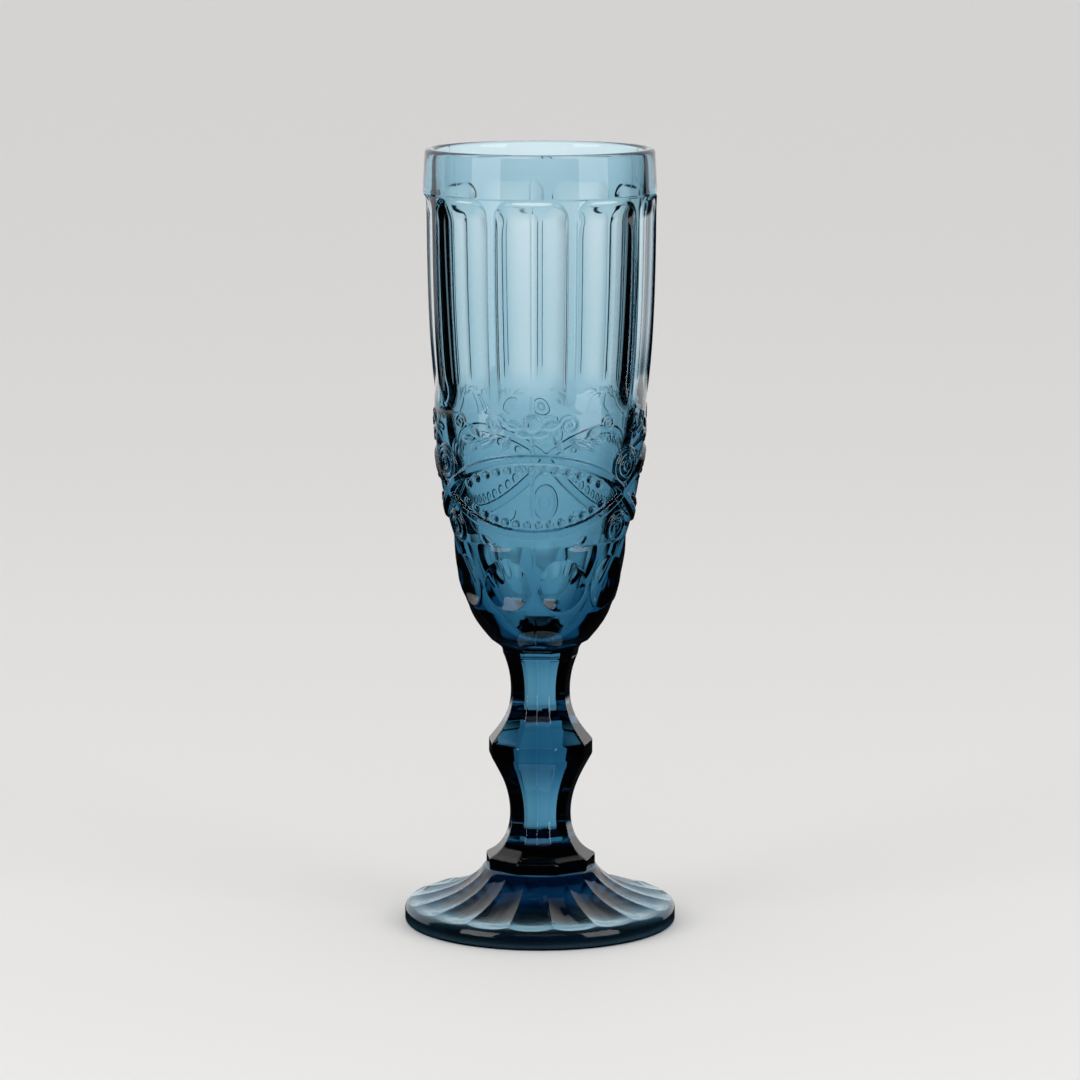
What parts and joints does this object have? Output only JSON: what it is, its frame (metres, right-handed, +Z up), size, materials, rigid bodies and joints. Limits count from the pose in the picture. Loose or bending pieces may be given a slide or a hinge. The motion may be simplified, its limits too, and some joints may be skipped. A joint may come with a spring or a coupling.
{
  "type": "champagne flute",
  "caption": "Footed champagne flute in pressed blue glass, with a panelled bowl, an ornament band, thumbprints, a faceted stem with a knop, and a fluted foot.",
  "frame": {"origin": "centre of the foot's resting plane, on the flute's axis", "axes": "+Z up along the flute's axis from the foot to the rim, -Y towards the middle of a panel and of a medallion"},
  "size_m": [0.07, 0.07, 0.2],
  "materials": {
    "bowl_glass": "pale blue pressed glass, fire-polished, clear through",
    "stem_glass": "the same blue glass, deeper where it is thick, fire-polished",
    "foot_glass": "the same blue glass, deeper where it is thick, fire-polished, slightly worn on the resting ring"
  },
  "bodies": {
    "root": {"bowl": "bowl_glass", "stem": "stem_glass", "foot": "foot_glass"}
  },
  "joints": []
}
